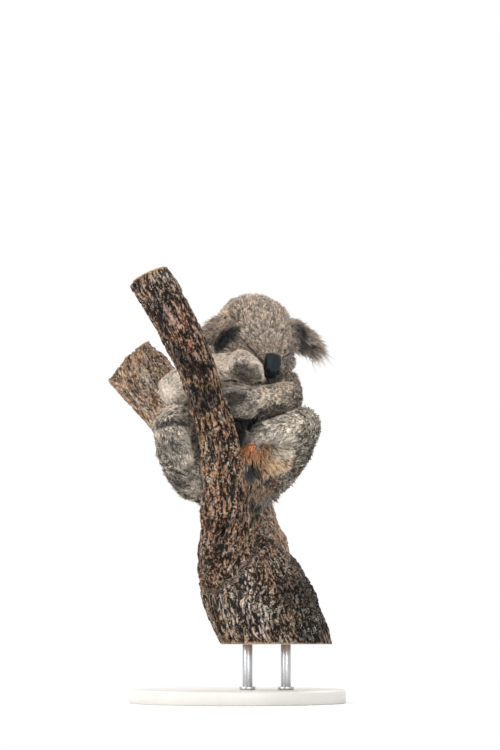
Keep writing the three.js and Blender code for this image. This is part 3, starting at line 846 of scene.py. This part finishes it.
# -------- perch
# A cut length of a forked gum tree with rough, furrowed bark: ropy ridges that run along each limb,
# parted by dark wavering cracks and broken into small flakes. Its three ends are sawn flat.
WOOD = ("perch_trunk", "perch_front_branch", "perch_rear_branch")
BARK_GRAIN = 2.45 * MM
SLICES = 14  # how many points the pith of a limb has
perch = fused(merged_copy(WOOD), BARK_GRAIN, "perch")
wood_places = read(perch.data.vertices, "co", 3)
limb_of = nearest_node(WOOD)(wood_places)
facing = read(perch.data.vertices, "normal", 3)
grain_place = np.zeros_like(wood_places)
end_grain = np.zeros(len(wood_places))
for i, name in enumerate(WOOD):
    mine = np.nonzero(limb_of == i)[0]
    p = wood_places[mine]
    edges = np.linspace(p[:, 2].min(), p[:, 2].max(), SLICES + 1)
    level = np.clip(np.searchsorted(edges, p[:, 2]) - 1, 0, SLICES - 1)
    pith = np.array([p[level == k].mean(axis=0) for k in range(SLICES)])
    for _ in range(3):
        pith[1:-1] = (pith[:-2] + 2 * pith[1:-1] + pith[2:]) / 4
    pith = np.vstack([2 * pith[0] - pith[1], pith, 2 * pith[-1] - pith[-2]])
    step = np.linalg.norm(np.diff(pith, axis=0), axis=1)
    travel = np.concatenate([[0], np.cumsum(step)])
    nearest = np.full(len(p), np.inf)
    for k, length_of_step in enumerate(step):
        way = (pith[k + 1] - pith[k]) / length_of_step
        run = np.clip((p - pith[k]) @ way, 0, length_of_step)
        off = p - pith[k] - run[:, None] * way
        gap = np.linalg.norm(off, axis=1)
        nearer = gap < nearest
        nearest[nearer] = gap[nearer]
        across = unit(np.array((1.0, 0, 0)) - way * way[0])
        local = np.stack([off @ across, off @ np.cross(way, across), travel[k] + run], axis=1)
        grain_place[mine[nearer]] = local[nearer]
    way = unit(pith[-1] - pith[-3])
    cut = facing[mine] @ way > 0.8
    near_end = (p - pith[-1]) @ way > -30 * MM
    if name == "perch_trunk":
        cut = facing[mine][:, 2] < -0.8
        near_end = p[:, 2] < p[:, 2].min() + 8 * MM
    end_grain[mine[cut & near_end]] = 1
end_grain = np.clip(spread(perch.data, end_grain, 2)[:, 0] * 1.6, 0, 1)
grain_place = spread(perch.data, grain_place, 6)


def ridge_at(place):
    """How high the bark stands at a place on a limb, from 0 in a crack to 1 on a ridge."""
    x, y, s = place / MM
    waver = noise.noise(Vector((x / 20, y / 20, s / 34))) * 1.1
    long_crack = abs(noise.noise(Vector((x / 8 + waver, y / 8 - waver, s / 62))))
    cross_crack = abs(noise.noise(Vector((x / 6 - waver, y / 6, s / 19 + 9))))
    return min(1, long_crack * 4) * (0.45 + 0.55 * min(1, cross_crack * 4.5))


ridge = np.array([ridge_at(place) for place in grain_place])
swell = np.array([noise.noise(Vector(p / MM / (24, 24, 60))) for p in grain_place])
RIDGE = 4.2  # mm from the bottom of a crack to the top of a ridge
SWELL = 4
rise = (ridge * RIDGE + swell * SWELL - RIDGE) * MM * (1 - end_grain)
HOLES = [
    # centre in mm from the lap, radius and depth of a hole, or height of a knob, in mm
    ((-29, -92, -212), 7, -12),
    ((-92, -166, 60), 10, -8),
    ((-76, -172, 56), 8, -6),
    ((-5, -84, -245), 9, 5),
]
for centre, radius, height in HOLES:
    rise += inside((wood_places - LAP) / MM, centre, radius, (0.45, 1.1)) * height * MM
wood_places += facing * rise[:, None]
set_places(perch.data, wood_places)

# The colour of the bark: red-brown below, greyer and paler above, darker in places, and near black
# in the hollows of the knot hole and the branch scar, which is painted shade.
LIMB_TONES = ("#7d6856", "#7c604a", "#a98c73")
BARK_MARKS_AND_PAINTED_SHADE = [
    # colour, centre, radii
    ("#6f5442", (-56, -67, -262), (22, 50, 46)),
    ("#82624b", (-30, -130, -120), (40, 50, 110)),
    ("#97877a", (14, -83, -316), (44, 60, 60)),
    ("#7d6553", (40, -60, -260), (30, 60, 50)),
    # darker down the right of the trunk
    ("#4d443d", (112, -40, -330), (44, 90, 90)),
    # painted shade in and round the hollows of the branch scar
    ("#2a2019", (-88, -168, 50), (24, 30, 26)),
    ("#4a3d34", (-62, -159, -12), (26, 40, 20)),
    ("#5a4538", (-110, -170, 70), (14, 40, 80)),
    ("#86644f", (-86, -170, 110), (16, 40, 60)),
    ("#857263", (-120, -170, 200), (50, 60, 60)),
    # painted shade in the knot hole
    ("#1c1511", (-29, -92, -212), (9, 12, 9)),
]
DRIFT_SIZE = 34 * MM  # the edges of these patches wander, in waves of this size
DRIFT = 26  # mm to either side
waves = [noise.noise_vector(Vector(p / DRIFT_SIZE)) for p in wood_places]
spots = (wood_places - LAP) / MM + np.array(waves) * DRIFT
bark_tone = spread(perch.data, np.array([linear(c) for c in LIMB_TONES])[limb_of], 10)
for colour, centre, radii in BARK_MARKS_AND_PAINTED_SHADE:
    share = inside(spots, centre, radii, (0.5, 1.4))[:, None]
    bark_tone += (np.array(linear(colour)) - bark_tone) * share
weathered = spread(perch.data, (limb_of == WOOD.index("perch_rear_branch")).astype(float), 12)[:, 0]
add_field(perch.data, "bark_tone", bark_tone)
add_field(perch.data, "grain_place", grain_place, "FLOAT_VECTOR")
for name, values in (("ridge", ridge), ("end_grain", end_grain), ("weathered", weathered)):
    add_field(perch.data, name, values, "FLOAT")

# Bark: dry and matt, black in its cracks, partly its own dark bark and partly painted shade, brown
# on the ridges and tan where they are worn. The ends are sawn heartwood, pale, with rings.
wood, tree, _ = new_material("furrowed gum bark")
base = node(tree, "Attribute", attribute_name="bark_tone").outputs["Color"]
ridge = node(tree, "Attribute", attribute_name="ridge").outputs["Fac"]
sawn = node(tree, "Attribute", attribute_name="end_grain").outputs["Fac"]
weathered = node(tree, "Attribute", attribute_name="weathered").outputs["Fac"]
grain = node(tree, "Attribute", attribute_name="grain_place").outputs["Vector"]
along_grain = node(tree, "VectorMath", {0: grain, 1: (1, 1, 0.3)}, operation="MULTIPLY")
along_a_little = node(tree, "VectorMath", {0: grain, 1: (1, 1, 0.6)}, operation="MULTIPLY")
flake = node(tree, "TexNoise", {
    "Vector": along_grain.outputs[0], "Scale": 1 / (3.6 * MM), "Detail": 2.0, "Roughness": 0.6,
})
speck = node(tree, "TexNoise", {
    "Vector": along_a_little.outputs[0], "Scale": 1 / (2.6 * MM), "Detail": 1.0, "Roughness": 0.6,
})

# Cracks are near black, partly their own dark bark and partly painted shade, the flanks of a ridge
# are its own colour, and its worn flakes are pale.
crack_shade_and_wear = node(tree, "Math", {0: ridge, 1: 0.62}, operation="MULTIPLY").outputs[0]
for pattern, least, most in ((flake, -0.3, 0.42), (speck, -0.24, 0.3)):
    share = node(tree, "MapRange", {
        "Value": pattern.outputs["Fac"], "From Min": 0.36, "From Max": 0.64, "To Min": least,
        "To Max": most,
    })
    crack_shade_and_wear = node(tree, "Math", {0: crack_shade_and_wear, 1: share.outputs[0]}, operation="ADD").outputs[0]
bleached = node(tree, "Math", {0: crack_shade_and_wear, 1: 0.5, 2: 0.36}, operation="MULTIPLY_ADD")
crack_shade_and_wear = node(tree, "Mix", {0: weathered, 2: crack_shade_and_wear, 3: bleached.outputs[0]}).outputs[0]
depth_of_tone = node(tree, "ValToRGB", {0: crack_shade_and_wear})
ramp = depth_of_tone.color_ramp
ramp.elements[0].position, ramp.elements[1].position = 0.1, 1.0
ramp.elements[0].color, ramp.elements[1].color = (0.02, 0.02, 0.022, 1), (1, 1, 1, 1)
ramp.elements.new(0.35).color = (0.07, 0.067, 0.065, 1)
ramp.elements.new(0.6).color = (0.33, 0.31, 0.3, 1)
ramp.elements.new(0.8).color = (0.62, 0.6, 0.59, 1)
toned = node(tree, "VectorMath", {0: base, 1: depth_of_tone.outputs[0]}, operation="MULTIPLY")
GAIN = (1.65, 1.65, 1.65)  # the ramp darkens the tones as written, and this makes up for it
bright = node(tree, "VectorMath", {0: toned.outputs[0], 1: GAIN}, operation="MULTIPLY")
patch = node(tree, "TexNoise", {
    "Vector": grain, "Scale": 1 / (26 * MM), "Detail": 4.0, "Roughness": 0.75,
})
dull = node(tree, "HueSaturation", {"Color": bright.outputs[0], "Saturation": 0.5, "Value": 1.0})
dulled = node(tree, "MapRange", {
    "Value": patch.outputs["Fac"], "From Min": 0.45, "From Max": 0.62, "To Min": 0.0, "To Max": 0.8,
})
barked = node(tree, "Mix", {
    0: dulled.outputs[0], 6: bright.outputs[0], 7: dull.outputs[0],
}, data_type="RGBA")
# Lichen: pale grey-green scabs of a few millimetres, in clusters, a little more on the rear limb.
scab = node(tree, "TexNoise", {
    "Vector": grain, "Scale": 1 / (3.6 * MM), "Detail": 2.0, "Roughness": 0.6,
})
cluster = node(tree, "TexNoise", {"Vector": grain, "Scale": 1 / (45 * MM), "Detail": 2.0})
scab_level = node(tree, "Math", {
    0: cluster.outputs["Fac"], 1: 0.55, 2: scab.outputs["Fac"],
}, operation="MULTIPLY_ADD")
scab_level = node(tree, "Math", {
    0: weathered, 1: 0.05, 2: scab_level.outputs[0],
}, operation="MULTIPLY_ADD")
crusted = node(tree, "MapRange", {
    "Value": scab_level.outputs[0], "From Min": 0.93, "From Max": 0.99, "To Min": 0.0, "To Max": 0.8,
})
scabs = node(tree, "Mix", {
    0: crusted.outputs[0], 6: barked.outputs[2], 7: linear("#b3ae9a") + [1],
}, data_type="RGBA")
rings = node(tree, "TexWave", {
    "Vector": grain, "Scale": 1 / (60 * MM), "Distortion": 1.5, "Detail": 2.0,
}, wave_type="RINGS", rings_direction="Z")
heartwood = node(tree, "Mix", {
    0: rings.outputs["Fac"], 6: linear("#a98360") + [1], 7: linear("#c9a983") + [1],
}, data_type="RGBA")
cover = node(tree, "Mix", {
    0: sawn, 6: scabs.outputs[2], 7: heartwood.outputs[2],
}, data_type="RGBA")
bump = node(tree, "Bump", {"Height": flake.outputs["Fac"], "Distance": 2.0 * MM, "Strength": 1.0})
finish_material(tree, node(tree, "BsdfPrincipled", {
    "Base Color": cover.outputs[2], "Roughness": 0.9, "Normal": bump.outputs[0],
    "Specular IOR Level": 0.2,
}))
make_of(perch, wood)
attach(perch, "root")
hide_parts(*WOOD)

# -------- stand
# A plain museum stand: a turned board sprayed a satin pale grey, and two brushed steel rods that
# rise from it to the sawn foot of the trunk, each out of a small steel collar on the board.
low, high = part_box("stand_base")
radius = (high.x - low.x) / 2
turned = bmesh.new()
profile = [(0, 0), (radius - 2 * MM, 0), (radius, 2 * MM), (radius, high.z - 5 * MM)]
profile += [
    (radius - 5 * MM * (1 - math.cos(a)), high.z - 5 * MM * (1 - math.sin(a)))
    for a in np.linspace(0, math.pi / 2, 6)[1:]
]
profile.append((0, high.z))
points = [turned.verts.new((x, 0, z)) for x, z in profile]
outline = [turned.edges.new(pair) for pair in zip(points, points[1:])]
bmesh.ops.spin(
    turned, geom=points + outline, cent=(0, 0, 0), axis=(0, 0, 1), angle=math.tau, steps=128,
    use_merge=True,
)
bmesh.ops.remove_doubles(turned, verts=turned.verts, dist=1e-6)
bmesh.ops.recalc_face_normals(turned, faces=turned.faces)
for face in turned.faces:
    face.smooth = abs(face.normal.z) < 0.95
board = show(turned, "stand_board")
# Sprayed satin paint: even and pale, with a faint orange-peel ripple.
paint, tree, where = new_material("satin sprayed board")
orange_peel = node(tree, "TexNoise", {"Vector": where, "Scale": 1 / (1.5 * MM), "Detail": 1.0})
dusting = node(tree, "TexNoise", {"Vector": where, "Scale": 1 / (90 * MM), "Detail": 4.0})
tint = node(tree, "Mix", {
    0: dusting.outputs["Fac"], 6: linear("#cbc8c2") + [1], 7: linear("#d9d7d2") + [1],
}, data_type="RGBA")
bump = node(tree, "Bump", {"Height": orange_peel.outputs["Fac"], "Distance": 0.05 * MM})
finish_material(tree, node(tree, "BsdfPrincipled", {
    "Base Color": tint.outputs[2], "Roughness": 0.45, "Normal": bump.outputs[0],
}))
make_of(board, paint)
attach(board, "root")
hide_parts("stand_base")

# Brushed steel: bright, with fine lines that run up the rod and blur its highlight.
steel, tree, where = new_material("brushed stainless steel")
stretch = node(tree, "Mapping", {"Vector": where, "Scale": (1, 1, 0.03)})
brushing = node(tree, "TexNoise", {
    "Vector": stretch.outputs[0], "Scale": 1 / (0.5 * MM), "Detail": 2.0,
})
rough = node(tree, "MapRange", {"Value": brushing.outputs["Fac"], "To Min": 0.22, "To Max": 0.42})
finish_material(tree, node(tree, "BsdfPrincipled", {
    "Base Color": linear("#b6b8ba") + [1], "Metallic": 1.0, "Roughness": rough.outputs[0],
}))
COLLAR = {"radius": 13 * MM, "tall": 5 * MM}
LEVEL = 1e-6  # an edge that rises less than this is a rim
for side in ("left", "right"):
    name = f"stand_rod_{side}"
    low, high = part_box(name)
    centre = (low + high) / 2
    rod = bmesh.new()
    for radius, bottom, top in (
        ((high.x - low.x) / 2, low.z, high.z),
        (COLLAR["radius"], low.z, low.z + COLLAR["tall"]),
    ):
        made = bmesh.ops.create_cone(
            rod, cap_ends=True, segments=64, radius1=radius, radius2=radius, depth=top - bottom,
            matrix=Matrix.Translation((centre.x, centre.y, (bottom + top) / 2)),
        )
        edges = {e for v in made["verts"] for e in v.link_edges}
        rims = [e for e in edges if abs(e.verts[0].co.z - e.verts[1].co.z) < LEVEL]
        bmesh.ops.bevel(
            rod, geom=rims, offset=0.6 * MM, offset_type="OFFSET", affect="EDGES", segments=2,
            profile=0.5, material=-1,
        )
    for face in rod.faces:
        face.smooth = abs(face.normal.z) < 0.95
    rod = show(rod, f"rod_{side}")
    make_of(rod, steel)
    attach(rod, "root")
    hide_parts(name)

# -------- floor and light
# A pale studio floor under a white, evenly lit tent, with five soft lamps: two in front to the
# left, one low in front, and one behind each shoulder.
floor_mesh = bmesh.new()
bmesh.ops.create_grid(floor_mesh, x_segments=1, y_segments=1, size=8)
floor = show(floor_mesh, "floor")
# Matt white paper, which takes the shadow near the stand and goes to plain white far off.
paper, tree, where = new_material("studio paper")
away_from_stand = node(tree, "VectorMath", {0: where}, operation="LENGTH")
far_off = node(tree, "MapRange", {
    "Value": away_from_stand.outputs["Value"], "From Min": 0.35, "From Max": 1.3,
}, interpolation_type="SMOOTHSTEP")
rays = node(tree, "LightPath")
seen_far_off = node(tree, "Math", {
    0: far_off.outputs[0], 1: rays.outputs["Is Camera Ray"],
}, operation="MULTIPLY")
lit = node(tree, "BsdfPrincipled", {"Base Color": (0.86, 0.86, 0.86, 1), "Roughness": 0.8})
glow = node(tree, "Emission", {"Color": (1, 1, 1, 1), "Strength": 1.0})
finish_material(tree, node(tree, "MixShader", {
    0: seen_far_off.outputs[0], 1: lit.outputs[0], 2: glow.outputs[0],
}))
make_of(floor, paper)

world = bpy.data.worlds.new("studio tent")
scene.world = world
world.use_nodes = True
tree = world.node_tree
tree.nodes.clear()
rays = node(tree, "LightPath")
seen = node(tree, "Math", {
    0: rays.outputs["Is Camera Ray"], 1: rays.outputs["Is Glossy Ray"],
}, operation="MAXIMUM")
strength = node(tree, "MapRange", {"Value": seen.outputs[0], "To Min": 0.83, "To Max": 1.0})
sky = node(tree, "Background", {"Color": (1, 1, 1, 1), "Strength": strength.outputs[0]})
node(tree, "OutputWorld", {"Surface": sky.outputs[0]})


def softbox(name, place, size, power):
    light = bpy.data.lights.new(name, "AREA")
    light.size = size
    light.energy = power
    lamp = bpy.data.objects.new(name, light)
    lamp.location = place
    lamp.rotation_euler = (Vector(place) - aim).to_track_quat("Z", "Y").to_euler()
    scene.collection.objects.link(lamp)


softbox("key", (-1.4, -1.8, 2.6), 1.4, 29)
softbox("fill", (-2.3, -1.6, 0.9), 1.6, 29)
softbox("low fill", (0.7, -1.9, 0.25), 1.2, 14)
softbox("rim left", (-1.9, 1.3, 1.9), 1.2, 30)
softbox("rim right", (1.5, 1.9, 2.2), 1.4, 34)

scene.view_settings.view_transform = "Standard"
